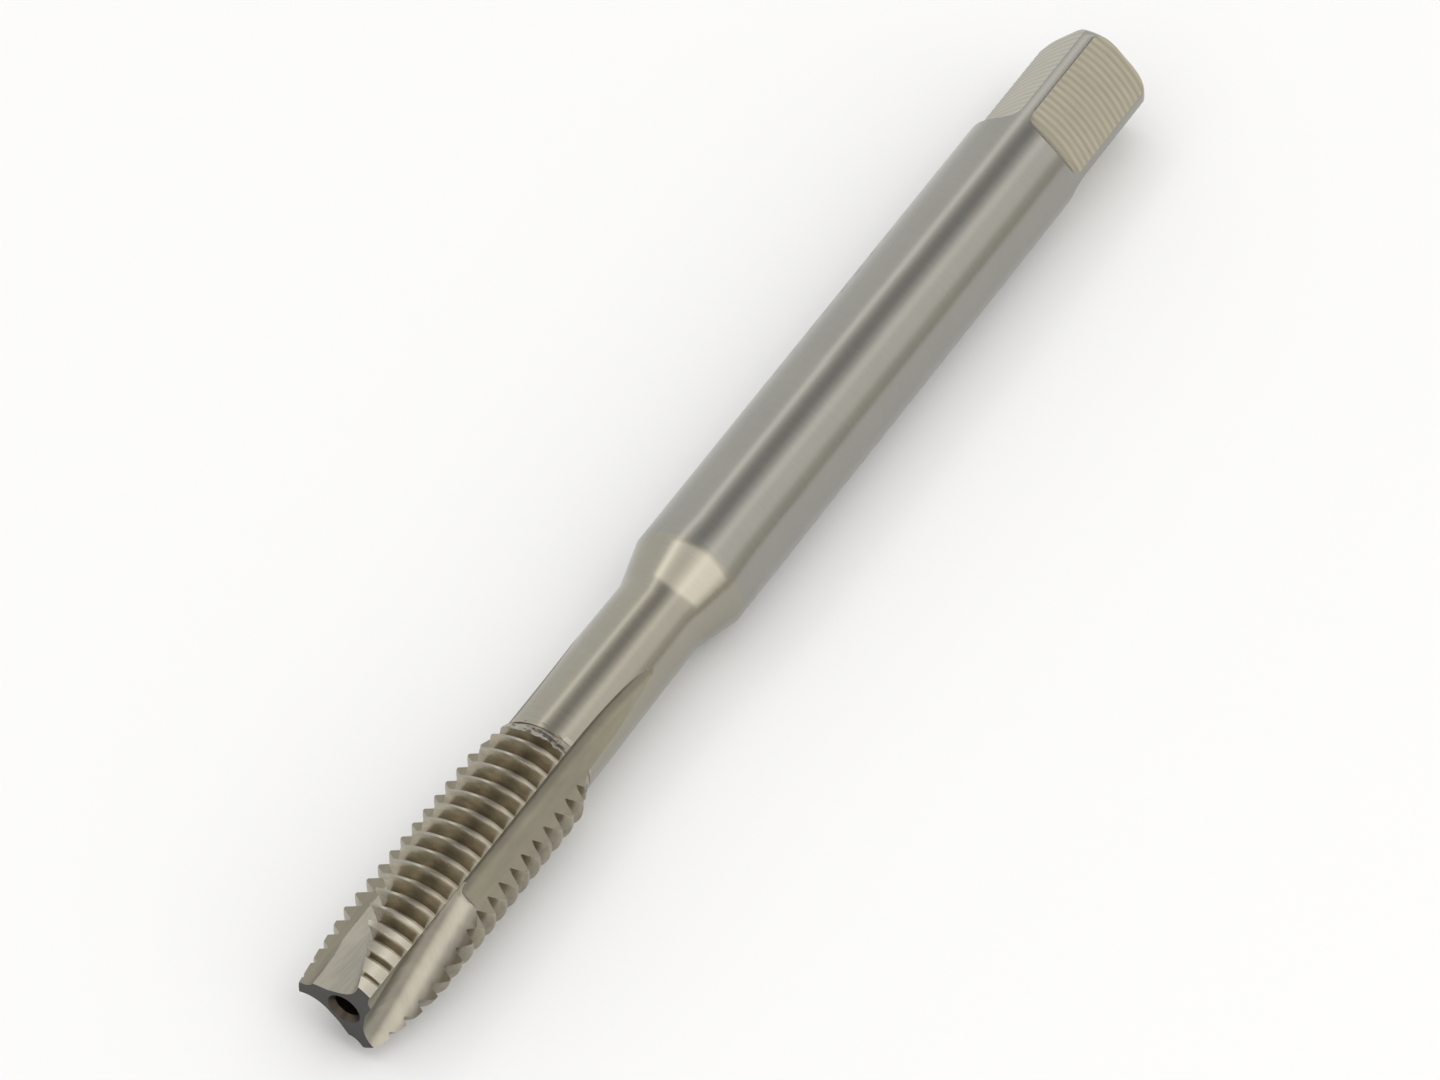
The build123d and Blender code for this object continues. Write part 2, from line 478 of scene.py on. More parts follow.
def second_leg(place, theta, has_gash, end, touch_radius):
    """Back along the gash's far wall, to where it meets the cutting wall or the land."""
    flute, _, leaves, land = cuts_at(place, theta)
    gap = np.clip(leaves - np.minimum(flute, land), -FAR, FAR)
    gap[..., 0] = np.minimum(gap[..., 0], 0)
    stop = np.clip((gap > 0).argmax(-1), 1, None)
    turn_out = np.where(has_gash, crossing(theta, gap, stop - 1, stop), end)
    angles = np.where(has_gash[..., None], np.maximum(theta, turn_out[..., None]), end[..., None])
    flute, _, leaves, land = cuts_at(place, angles)
    radii = np.minimum(np.minimum(flute, land), leaves)
    radii[..., 0] = np.where(has_gash, touch_radius, radii[..., 0])
    return angles, radii, turn_out


def third_leg(place, turn_out):
    """Out along the cutting wall, to the cutting edge on the land."""
    way = SEAM + STEP - turn_out[..., None]
    theta = turn_out[..., None] + way * np.linspace(0, 1, LEG_SAMPLES)
    flute, _, _, land = cuts_at(place, theta)
    gap = np.clip(flute - land, -FAR, FAR)
    gap[..., 0] = np.where(gap[..., 0] < -TOUCHING, gap[..., 0], 0)
    stop = np.clip((gap >= 0).argmax(-1), 1, None)
    edge = np.where(gap[..., 0] < 0, crossing(theta, gap, stop - 1, stop), turn_out)
    angles = np.minimum(theta, edge[..., None])
    flute, _, _, land = cuts_at(place, angles)
    return angles, np.minimum(flute, land)


def flute_lines(place):
    """Angles and radii along the legs, which samples and rows are in the gash, and which rows are cut.

    Samples are squeezed towards the touching ray by the square of their number.
    """
    touch, has_gash = touching_angle(place)
    squeezed = np.linspace(1, 0, LEG_SAMPLES) ** 2
    theta = touch[..., None] - (touch[..., None] - SEAM) * squeezed
    angles_1, radii_1, end, in_gash, cut = first_leg(place, theta, touch, has_gash)
    angles_2, radii_2, turn_out = second_leg(place, theta[..., ::-1], has_gash, end, radii_1[..., -1])
    angles_3, radii_3 = third_leg(place, turn_out)
    angles = np.concatenate([angles_1, angles_2, angles_3], -1)
    radii = np.concatenate([radii_1, radii_2, radii_3], -1)
    return angles, radii, in_gash, in_gash.any(-1), cut


print("samples along each flute's line:", flute_lines(thread_place)[0].shape[-1])

# %% [markdown]
# ## Columns on the edges
# Two columns of every flute stay on its edges, and two more on the borders of the
# gash.  Between them the columns are evenly spaced, which keeps the faces alike in
# size.  Behind the gash its borders drift to even shares, so that no column jumps.

# %% Columns of each row
HEEL_COLUMNS, LAND_COLUMNS = 6, 30
WALL_COLUMNS = np.array([16, 26, 10])
FLUTE_COLUMNS = WALL_COLUMNS.sum()
PERIOD = HEEL_COLUMNS + FLUTE_COLUMNS + LAND_COLUMNS
COLUMNS = FLUTES * PERIOD
DRIFT_LENGTH = 3.0
NEARLY_ONE = 1 - 1e-9
each_flute = np.arange(FLUTES)


def smoothstep(share):
    """Three squares less two cubes of the share, between nought and one."""
    share = np.clip(share, 0, 1)
    return share * share * (3 - 2 * share)


def look_up(values, length, wanted):
    """The values at wanted lengths: all rows are laid end to end and looked up at once."""
    row = np.arange(length[..., 0].size).reshape(length.shape[:2] + (1,))
    wanted_at, known_at = wanted * NEARLY_ONE + row, length * NEARLY_ONE + row
    return np.interp(wanted_at.ravel(), known_at.ravel(), values.ravel()).reshape(wanted.shape)


def border_shares(length, in_gash, has_gash, place):
    """The shares of the line at which the gash starts and ends, for each row and flute."""
    even = np.cumsum(WALL_COLUMNS)[:2] / FLUTE_COLUMNS
    if not has_gash.any():
        return np.broadcast_to(even, has_gash.shape + (2,))
    shares = np.stack([pick(length, in_gash.argmax(-1)), length[..., 2 * LEG_SAMPLES - 1]], -1)
    row = np.arange(len(has_gash))[:, None]
    last_row = np.where(has_gash, row, 0).max(0)
    x = place(FLUTE_TURN + STEP * each_flute[None] + SEAM)
    behind = smoothstep((x - x[last_row, each_flute]) / DRIFT_LENGTH)[..., None]
    drifted = shares[last_row, each_flute] * (1 - behind) + even * behind
    return np.where(has_gash[..., None], shares, drifted)


def spread(start, end, count):
    """Evenly spaced numbers from start up to, but without, the end."""
    return start[..., None] + (end - start)[..., None] * np.arange(count) / count


def fitted_rows(place):
    """Angles and radii of each row's columns, which rows are cut, and where they have a gash.

    The length along the line is the sum of the steps between its samples.  Outside
    the flutes the radius is left open.
    """
    theta, radii, in_gash, has_gash, cut = flute_lines(place)
    steps = np.hypot(*np.diff(radii * np.stack(cos_sin(theta))))
    length = np.concatenate([np.zeros_like(radii[..., :1]), np.cumsum(steps, -1)], -1)
    length = length / np.maximum(length[..., -1:], SMALL)
    shares = border_shares(length, in_gash, has_gash, place)
    start, end = shares[..., 0], shares[..., 1]
    nought, whole = np.zeros_like(start), np.ones_like(start)
    stretches = zip((nought, start, end), (start, end, whole), WALL_COLUMNS)
    wanted = np.concatenate([spread(a, b, count) for a, b, count in stretches], -1)
    heel, edge = theta[..., 0], theta[..., -1]
    first, last = np.full(heel.shape, SEAM), np.full(heel.shape, SEAM + STEP)
    columns = np.concatenate([spread(first, heel, HEEL_COLUMNS), look_up(theta, length, wanted),
                              spread(edge, last, LAND_COLUMNS)], -1)
    radius = np.full(columns.shape, np.nan)
    radius[..., HEEL_COLUMNS:HEEL_COLUMNS + FLUTE_COLUMNS] = look_up(radii, length, wanted)
    psi = columns + (FLUTE_TURN + STEP * each_flute)[None, :, None]
    return psi.reshape(len(psi), -1), radius.reshape(len(psi), -1), cut, has_gash


thread_psi, thread_radii, _, thread_gash = fitted_rows(thread_place)
thread_x = thread_place(thread_psi)
thread_radii = np.where(np.isnan(thread_radii), outside_radius(thread_x, thread_psi), thread_radii)
print("threaded part:", thread_x.shape[0], "rows of", thread_x.shape[1], "columns")

# %% [markdown]
# ## Columns and rows of the square
# On the square the columns belong on the edges of the flats.  Round the shoulder the
# rows follow the line where the cutter entered the shank, because straight rows would
# leave steps in that line.

# %% The square's columns and its shoulder
CORNER_COLUMNS = 16
QUARTER_COLUMNS = COLUMNS // SIDES_OF_SQUARE
FLAT_COLUMNS = QUARTER_COLUMNS - CORNER_COLUMNS
SHOULDER_ROWS = 9


def square_angles(x):
    """Columns for the square: some on each rounded corner and the rest on each flat.

    A flat's edge is where its height over the cosine reaches the turned radius.
    """
    outside = turned_radius(np.maximum(x, square_start), np.full_like(x, square_turn))
    edge = np.degrees(np.arccos(np.clip(flat_height / outside, -1, 1)))[:, None, None]
    half = CORNER_COLUMNS / 2
    corner = (SQUARE_STEP / 2 - edge) * (np.arange(CORNER_COLUMNS) - half) / half
    flat = SQUARE_STEP / 2 - edge + 2 * edge * np.arange(FLAT_COLUMNS) / FLAT_COLUMNS
    quarter = np.concatenate([corner, flat], -1)
    turns = square_turn - SQUARE_STEP / 2 + SQUARE_STEP * np.arange(SIDES_OF_SQUARE)
    return (quarter + turns[None, :, None]).reshape(x.size, -1)


def shoulder_rows():
    """Rows between the shoulder's edge on the shank and the flat's start, by equal turns of its arc.

    The turn at the edge has a cosine of the height still to go over the arc's radius.
    """
    angles = square_angles(np.full(SHOULDER_ROWS, square_start))
    height = shank_radius * np.cos(np.radians(flat_angle(angles)))
    turn = np.arccos(np.clip((flat_height + shoulder_radius - height) / shoulder_radius, 0, 1))
    share = 1 - np.arange(SHOULDER_ROWS)[:, None] / SHOULDER_ROWS
    return square_start - shoulder_radius * np.sin(turn * share), angles


print("the shoulder starts", round(float(square_start - shoulder_rows()[0].min()), 2), "mm before the flat")

# %% [markdown]
# ## Neck, shank and square
# Behind the thread the rows lie straight across the tap, close together where the
# flutes run out and on the milled flats, and far apart on the plain shank.  There the
# columns move slowly from the flutes' edges to the edges of the square.

# %% Rows of the neck, the shank and the square
RUNOUT_ROWS, NECK_ROWS, CONE_ROWS, SHANK_ROWS, FLAT_ROWS, ROUND_ROWS = 34, 7, 7, 21, 64, 9
FLUTE_FADE = 30.8
MORPH_START, MORPH_END = 42.0, 76.0
SHOULDER_MARGIN = 0.2


def after(start, end, count):
    """Evenly spaced numbers from just after the start up to the end."""
    return np.linspace(start, end, count + 1)[1:]


def body_rows():
    """Place, angle and radius of the rows from the thread's end to the driving end.

    Past the flutes the rows keep the columns of the last row that is cut, and the
    rows of the rounded end are at equal turns of its circle.
    """
    runout_x = np.linspace(THREAD_GRID_END, FLUTE_FADE, RUNOUT_ROWS)
    plain_x = np.concatenate([
        after(FLUTE_FADE, neck_end, NECK_ROWS), after(neck_end, cone_end, CONE_ROWS),
        after(cone_end, square_start - shoulder_radius - SHOULDER_MARGIN, SHANK_ROWS)])
    flat_x = np.concatenate([
        np.linspace(square_start, total_length - end_round, FLAT_ROWS),
        total_length - end_round * (1 - np.sin(after(0, np.pi / 2, ROUND_ROWS)))])
    angles, radii, cut, _ = fitted_rows(straight_place(runout_x))
    last = np.flatnonzero(cut)[-1]
    angles[last + 1:] = angles[last]
    radii[last + 1:] = np.nan
    blend = smoothstep((plain_x - MORPH_START) / (MORPH_END - MORPH_START))[:, None]
    plain_angles = angles[last] * (1 - blend) + square_angles(plain_x) * blend
    shoulder_x, shoulder_angles = shoulder_rows()
    psi = np.concatenate([angles, plain_angles, shoulder_angles, square_angles(flat_x)])
    runout_x, plain_x, flat_x = (np.repeat(v[:, None], COLUMNS, 1) for v in (runout_x, plain_x, flat_x))
    x = np.concatenate([runout_x, plain_x, shoulder_x, flat_x])
    radius = outside_radius(x, psi)
    radius[:RUNOUT_ROWS] = np.where(np.isnan(radii), radius[:RUNOUT_ROWS], radii)
    return x, psi, radius


body_x, body_psi, body_radii = body_rows()
print("neck, shank and square:", len(body_x), "rows")

# %% [markdown]
# ## The ends and the centre holes
# Both ends have a centre hole, on which the tap was held while it was ground.  The
# main grid could be drawn in to the hole, but round the deep flutes it would fold.  So
# each hole is a grid of its own, and the face round it is filled with triangles.

# %% Rings of a centre hole, and the flat face round it
HOLE_COLUMNS = 72
center_angle = np.radians(60)
drill_angle = np.radians(118)


def ring_points(x, psi, radius):
    """Points at places along the axis, angles and radii."""
    cosine, sine = cos_sin(psi)
    return np.stack([x, radius * cosine, radius * sine], -1)


def hole_grid(at, inward, mouth, bore, depth):
    """Rings down the hole: its cone of 60 degrees, its bore and its drill point of 118 degrees."""
    cone = (mouth - bore) / np.tan(center_angle / 2)
    point = bore / np.tan(drill_angle / 2)
    deep = np.array([0, cone / 2, cone, (cone + depth) / 2, depth, depth + point / 2, depth + point])
    radius = np.array([mouth, (mouth + bore) / 2, bore, bore, bore, bore / 2, 0])
    psi = 360 * np.arange(HOLE_COLUMNS) / HOLE_COLUMNS
    return ring_points(*np.broadcast_arrays((at + inward * deep)[:, None], psi, radius[:, None]))


def face_triangles(rim, mouth):
    """Triangles between two rings of points in one plane, without those inside the inner ring."""
    rim = rim[np.abs(np.diff(rim, axis=0, append=rim[:1])).max(-1) > TOUCHING]
    both = np.concatenate([rim, mouth])
    loops = [np.arange(len(rim)), len(rim) + np.arange(len(mouth))]
    edges = np.concatenate([np.stack([loop, np.roll(loop, -1)], -1) for loop in loops])
    flat = [Vector(point) for point in both[:, 1:]]
    _, _, faces, origin, _, _ = delaunay_2d_cdt(flat, edges.tolist(), [], 1, 1e-7)
    number = np.array([index[0] for index in origin])
    triangles = number[np.array(faces)]
    return both, triangles[(triangles < len(rim)).any(-1)]


tip_hole = hole_grid(0.0, 1, mouth=1.15, bore=0.90, depth=2.4)
back_hole = hole_grid(total_length, -1, mouth=1.30, bore=0.65, depth=3.2)
print("the front centre hole is", round(float(tip_hole[..., 0].max()), 2), "mm deep to its point")

# %% [markdown]
# ## Sewing the grids together
# Round the tap, the last column of a row joins the first column of the same row, but a
# row of the thread has wound on by one pitch, so it joins the row one pitch further
# back.  Points that fall together become one, and faces without a size are dropped.  A
# modifier would do that too, but would lose the finishes.

# %% The main grid
SEWING_DIGITS = 5


def grid_quads(rows, columns, next_row):
    """The corners of each face of a grid that closes round the tap."""
    index = np.arange(rows * columns).reshape(rows, columns)
    ahead = np.concatenate([index[:, 1:], index[next_row, 0][:, None]], 1)
    return np.stack([index[:-1], ahead[:-1], ahead[1:], index[1:]], -1).reshape(-1, 4)


def sew(points, corners, finish):
    """Points, quads, triangles and their finishes, with points in the same place made one."""
    rounded = np.round(points, SEWING_DIGITS)
    _, keep, same = np.unique(rounded, axis=0, return_index=True, return_inverse=True)
    same = same.reshape(-1)
    corners = same[corners]
    twins = corners == np.roll(corners, -1, 1)
    folded = (corners[:, 0] == corners[:, 2]) | (corners[:, 1] == corners[:, 3])
    whole = ~twins.any(1) & ~folded
    single = (twins.sum(1) == 1) & ~folded
    order = (twins[single].argmax(1)[:, None] + 1 + np.arange(3)) % 4
    three = np.take_along_axis(corners[single], order, 1)
    return keep, same, corners[whole], finish[whole], three, finish[single]


main_x = np.concatenate([thread_x, body_x])
main_psi = np.concatenate([thread_psi, body_psi])
main_radii = np.concatenate([thread_radii, body_radii])
rows, columns = main_x.shape
next_row = np.arange(rows)
wound = np.arange(len(thread_x))
next_row[wound] = np.minimum(wound + ROWS_PER_PITCH, len(thread_x) - 1)
main_points = ring_points(main_x, main_psi, main_radii).reshape(-1, 3)
main_quads = grid_quads(rows, columns, next_row)
print("main grid:", rows, "rows of", columns, "columns,", len(main_quads), "faces")

# %% [markdown]
# ## The finish of every face
# A face could be given its finish by where it is, but the borders would then miss the
# edges.  Here it takes the finish of the cutter that is deepest at its middle, and the
# columns tell which faces lie in a flute or in the gash.

# %% A finish for each face
CUT_DEPTH = 2e-4


def middle(values):
    """The middle of each face's four corners; the last column takes its own side only."""
    across = np.concatenate([(values[:, 1:] + values[:, :-1]) / 2, values[:, -1:]], 1)
    return (across[1:] + across[:-1]) / 2


layers = outside_radii(middle(main_x), middle(main_psi))
finish = layers.argmin(0)
column = np.arange(COLUMNS) % PERIOD - HEEL_COLUMNS
flute_columns = (column >= 0) & (column < FLUTE_COLUMNS)
flute_rows = np.arange(rows - 1) < len(thread_x) + RUNOUT_ROWS
is_cut = layers.min(0) - middle(main_radii) > CUT_DEPTH
finish[flute_rows[:, None] & flute_columns & is_cut] = FLUTE_WALL
gash_columns = (column >= WALL_COLUMNS[0]) & (column < WALL_COLUMNS[:2].sum())
gash_faces = np.repeat(thread_gash[:-1], PERIOD, 1) & gash_columns
finish[:len(gash_faces)][gash_faces] = GASH_WALL
main_finish = finish.reshape(-1)
print("faces of each finish:", np.bincount(main_finish))

# %% [markdown]
# ## Where the edges are
# Handling wears the sharp edges, and they are made a little brighter in colour: partly that wear
# and partly a painted highlight, where a rounded edge would catch the light.  A shader can find
# edges by itself, but not evenly on faces of many sizes, so each point carries a number that is
# one on an edge and nought beside it.

# %% A number for the edges
edge_value = np.zeros((rows, columns))
crest_rows = np.tile((SHARES == 1) & (SIDES != 0), len(thread_x) // ROWS_PER_PITCH)
on_land = ~flute_columns & (column != FLUTE_COLUMNS)
edge_value[:len(thread_x)][np.ix_(crest_rows, on_land)] = 1
flute_edges = (column == 0) | (column == FLUTE_COLUMNS)
edge_value[:len(thread_x) + RUNOUT_ROWS, flute_edges] = 1
flat_edges = np.arange(COLUMNS) % QUARTER_COLUMNS == CORNER_COLUMNS
edge_value[-(FLAT_ROWS + ROUND_ROWS + SHOULDER_ROWS):, flat_edges] = 1
edge_value[-1] = 1
print("points on edges:", int(edge_value.sum()))

# %% [markdown]
# ## Both ends
# The ends' faces come behind the main grid's.  Those at the tip look the other way
# along the axis, so the order of their corners is turned round: Blender takes the
# outside of a face from that order.

# %% Put the ends on
points, corners, finishes = [main_points], [main_quads], [main_finish]
count = len(main_points)
for hole, rim, order in ((tip_hole, main_points[:columns], -1), (back_hole, main_points[-columns:], 1)):
    hole_quads = grid_quads(len(hole), HOLE_COLUMNS, np.arange(len(hole)))
    corners.append(hole_quads[:, ::order] + count)
    finishes.append(np.full(len(hole_quads), CENTER_HOLE))
    points.append(hole.reshape(-1, 3))
    count += hole[..., 0].size
    face_points, face = face_triangles(rim, hole[0])
    face = face[:, ::order]
    corners.append(np.concatenate([face, face[:, -1:]], 1) + count)
    finishes.append(np.full(len(face), END_FACE))
    points.append(face_points)
    count += len(face_points)
all_points = np.concatenate(points)
keep, same_point, quads, quad_finish, triangles, triangle_finish = sew(
    all_points, np.concatenate(corners), np.concatenate(finishes))
points = all_points[keep]
print("sewn:", len(points), "points,", len(quads), "quads,", len(triangles), "triangles")

# %% [markdown]
# ## From arrays to a mesh
# The new mesh stands for the plain solid of the frame, lies where it lies, and moves
# with the same body.  A tap is solid steel, so each side of a face has to belong to two
# faces.  A side that belongs to one only would be open, and there are none.

# %% The steel of the tap
SHARP_ANGLE = np.radians(22)
mesh = bpy.data.meshes.new("tap_steel")
mesh.from_pydata((points * MM).tolist(), [], quads.tolist() + triangles.tolist())
face_finish = np.concatenate([quad_finish, triangle_finish]).astype(np.int32)
mesh.polygons.foreach_set("material_index", face_finish)
mesh.polygons.foreach_set("use_smooth", np.ones(len(mesh.polygons), bool))
mesh.set_sharp_from_angle(angle=SHARP_ANGLE)
edge_of_all = np.zeros(len(all_points))
edge_of_all[:edge_value.size] = edge_value.reshape(-1)
edge_of_point = np.zeros(len(points))
np.maximum.at(edge_of_point, same_point, edge_of_all)
edge_attribute = mesh.attributes.new("edge", "FLOAT", "POINT")
edge_attribute.data.foreach_set("value", edge_of_point.astype(np.float32))
tap = bpy.data.objects.new("tap_steel", mesh)
bpy.context.scene.collection.objects.link(tap)
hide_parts("tap")
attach(tap, "root")
side_of_loop = np.zeros(len(mesh.loops), np.int32)
mesh.loops.foreach_get("edge_index", side_of_loop)
print("mesh:", len(mesh.polygons), "faces, open sides:", (np.bincount(side_of_loop) == 1).sum())

# %% [markdown]
# ## Nodes from code
# The finishes are made of many small nodes.  Wiring each by hand would take pages, so
# a few helpers add a node, set it and link it in one line.

# %% Helpers for shader nodes
def object_place(tree):
    """The place in the tap's own frame, in metres."""
    return add_node(tree, "ShaderNodeTexCoord").outputs["Object"]


def new_group(name, inputs, outputs):
    """A shader node group, the place on the tap, its named inputs and its number outputs."""
    group = bpy.data.node_groups.new(name, "ShaderNodeTree")
    for label, value in inputs.items():
        kind = "NodeSocketVector" if isinstance(value, tuple) else "NodeSocketFloat"
        group.interface.new_socket(label, in_out="INPUT", socket_type=kind).default_value = value
    for label in outputs:
        group.interface.new_socket(label, in_out="OUTPUT", socket_type="NodeSocketFloat")
    given, result = group.nodes.new("NodeGroupInput").outputs, group.nodes.new("NodeGroupOutput").inputs
    return group, object_place(group), given, result


def add_node(tree, kind, links=(), **settings):
    """A node with its settings, and its inputs linked to sockets or set to constants."""
    node = tree.nodes.new(kind)
    for key, value in settings.items():
        setattr(node, key, value)
    for key, value in links:
        if isinstance(value, bpy.types.NodeSocket):
            tree.links.new(value, node.inputs[key])
        else:
            node.inputs[key].default_value = value
    return node


def maths(tree, operation, *values):
    """The result of a Math node."""
    return add_node(tree, "ShaderNodeMath", list(enumerate(values)), operation=operation).outputs[0]


def vectors(tree, operation, *values, output="Vector"):
    """A result of a Vector Math node; SCALE takes a vector and a number."""
    links = zip((0, "Scale" if operation == "SCALE" else 1), values)
    return add_node(tree, "ShaderNodeVectorMath", links, operation=operation).outputs[output]


def stretch(tree, value, from_min, from_max, to_min=0.0, to_max=1.0):
    """A value carried over from one range to another, and kept inside it."""
    return add_node(tree, "ShaderNodeMapRange", [
        ("Value", value), ("From Min", from_min), ("From Max", from_max),
        ("To Min", to_min), ("To Max", to_max)]).outputs["Result"]


def noise(tree, place, scale, detail, distortion=0.0):
    """Soft noise between nought and one."""
    return add_node(tree, "ShaderNodeTexNoise", [
        ("Vector", place), ("Scale", scale), ("Detail", detail), ("Distortion", distortion)]).outputs["Fac"]


def mix(tree, factor, a, b, blend="MIX"):
    """The colour output of a colour Mix node."""
    links = [(0, factor), (6, a), (7, b)]
    return add_node(tree, "ShaderNodeMix", links, data_type="RGBA", blend_type=blend).outputs[2]


def parts_of(tree, vector):
    """The X, Y and Z of a vector."""
    return add_node(tree, "ShaderNodeSeparateXYZ", [(0, vector)]).outputs


ACROSS_AXIS = (0, 1, 1)
print("groups so far:", len(bpy.data.node_groups))

# %% [markdown]
# ## Marks that the machines left
# Each machine leaves fine marks in its own direction.  One group makes them all: noise
# that is squeezed in the direction across the marks, so that it is drawn out along
# them.  It also gives soft clouds, for the uneven film of oil.

# %% Group: machine marks
marks, place, given, result = new_group("machine_marks", {
    "Direction": (1, 0, 0), "Across": 9000.0, "Along": 300.0, "Cloud": 250.0}, ["Marks", "Clouds"])
unit = vectors(marks, "NORMALIZE", given["Direction"])
share = vectors(marks, "DOT_PRODUCT", place, unit, output="Value")
extra = maths(marks, "MULTIPLY", share, maths(marks, "SUBTRACT", given["Across"], given["Along"]))
drawn = vectors(marks, "ADD", vectors(marks, "SCALE", unit, extra),
                vectors(marks, "SCALE", place, given["Along"]))
marks.links.new(noise(marks, drawn, 1.0, 3.0), result["Marks"])
marks.links.new(noise(marks, place, given["Cloud"], 4.0), result["Clouds"])
print("group:", marks.name)

# %% [markdown]
# ## Worn edges with a painted highlight, and stained roots
# Both are masks.  The first reads the edge number and breaks it up with noise, since
# wear is never even; it lightens the edges, as wear and as a painted highlight.  The second
# is strongest at a low radius, where oil and heat leave their brown tint and nothing rubs it off.

# %% Groups: edge wear with a painted highlight, and root tint
# Painted highlight and wear: this mask lightens the edges' colour.
wear_and_highlight, place, given, result = new_group("edge_wear_and_highlight", {"Start": 0.6, "Breakup": 0.5}, ["Mask"])
number = add_node(wear_and_highlight, "ShaderNodeAttribute", attribute_name="edge").outputs["Fac"]
patches = noise(wear_and_highlight, place, 2500.0, 2.0)
broken = maths(wear_and_highlight, "SUBTRACT", number, maths(wear_and_highlight, "MULTIPLY", patches, given["Breakup"]))
wear_and_highlight.links.new(stretch(wear_and_highlight, broken, given["Start"], 1.0), result["Mask"])

tint, place, given, result = new_group("root_tint", {"Low radius": 0.0031, "High radius": 0.0039}, ["Mask"])
radius_here = vectors(tint, "LENGTH", vectors(tint, "MULTIPLY", place, ACROSS_AXIS), output="Value")
low = stretch(tint, radius_here, given["Low radius"], given["High radius"], 1.0, 0.0)
spots = stretch(tint, noise(tint, place, 700.0, 3.0), 0.3, 0.6, 0.55, 1.0)
tint.links.new(maths(tint, "MULTIPLY", low, spots), result["Mask"])
print("groups:", wear_and_highlight.name, tint.name)

# %% [markdown]
# ## Painted shade in the milling waves, and torn steel
# The modelled waves of the flats hardly show, though on real ones they catch the light in
# stripes.  So a third group gives the same wave as a number, and its hollows are darkened
# with a painted shade.  A fourth gives a mask of dark scrapes in a narrow ring where the thread runs out.

# %% Groups: feed marks for the painted shade, and run-out scrapes
# The milling wave; its hollows get a painted shade.
feed, place, given, result = new_group("feed_marks", {
    "Start": 0.0812, "Spacing": 0.00056, "Bow": 60.0, "Height": 0.0031}, ["Wave"])
flat_place = vectors(feed, "MULTIPLY", place, ACROSS_AXIS)
square_here = vectors(feed, "DOT_PRODUCT", flat_place, flat_place, output="Value")
across_square = maths(feed, "SUBTRACT", square_here, maths(feed, "POWER", given["Height"], 2.0))
bow = maths(feed, "MULTIPLY", across_square, given["Bow"])
from_start = maths(feed, "SUBTRACT", parts_of(feed, place)["X"], given["Start"])
bowed = maths(feed, "ADD", from_start, bow)
turns = maths(feed, "DIVIDE", bowed, given["Spacing"])
wave = maths(feed, "COSINE", maths(feed, "MULTIPLY", turns, float(2 * np.pi)))
feed.links.new(maths(feed, "MULTIPLY_ADD", wave, 0.5, 0.5), result["Wave"])

scrapes, place, given, result = new_group("runout_scrapes", {"Middle": 0.02155, "Reach": 0.0011}, ["Mask"])
x_here = parts_of(scrapes, place)["X"]
off_middle = maths(scrapes, "ABSOLUTE", maths(scrapes, "SUBTRACT", x_here, given["Middle"]))
close = maths(scrapes, "SUBTRACT", 1.0, maths(scrapes, "DIVIDE", off_middle, given["Reach"]))
torn = noise(scrapes, vectors(scrapes, "MULTIPLY", place, (2.6, 1, 1)), 1100.0, 3.0, 0.6)
scraped = maths(scrapes, "ADD", torn, maths(scrapes, "MULTIPLY", close, 0.16))
scrape_mask = stretch(scrapes, scraped, 0.62, 0.70, 0.0, 0.85)
inside_ring = maths(scrapes, "GREATER_THAN", close, 0.0)
scrapes.links.new(maths(scrapes, "MULTIPLY", scrape_mask, inside_ring), result["Mask"])
print("groups:", feed.name, scrapes.name)

# %% [markdown]
# ## The finishes
# All the faces are the same bare steel.  They differ in how dark and how rough the
# machine left them, and in the direction and size of the marks.  One function makes
# them all: it starts with the steel's colour and lays stains, marks, a painted shade in the
# hollows of the milling waves, scrapes, and wear with a painted highlight on the edges over it in turn.

# %% A bare steel
AROUND, LENGTHWISE, CROSSWISE = (1, 0, 0), (0, 1, -1), (1, 0.05, 0)
MARK_RANGE = 0.25, 0.75
MARK_ROUGHNESS = 0.12
CONE_EDGE = 0.03895, 0.03905
BROWN = (0.09, 0.065, 0.04, 1)
# Painted shade for the hollows of the milling waves.
HOLLOW_SHADE = (0.16, 0.145, 0.11, 1)
SCRAPED = (0.05, 0.04, 0.028, 1)
# The edges' colour: wear, and a painted highlight where rounded edges would catch the light.
WORN_AND_HIGHLIGHT = (0.62, 0.60, 0.56, 1)


def lay_over(tree, shade, group, amount, colour):
    """The shade with a colour over it, by an amount of the group's first output."""
    mask = add_node(tree, "ShaderNodeGroup", node_tree=group).outputs[0]
    return mix(tree, maths(tree, "MULTIPLY", mask, amount), shade, colour)


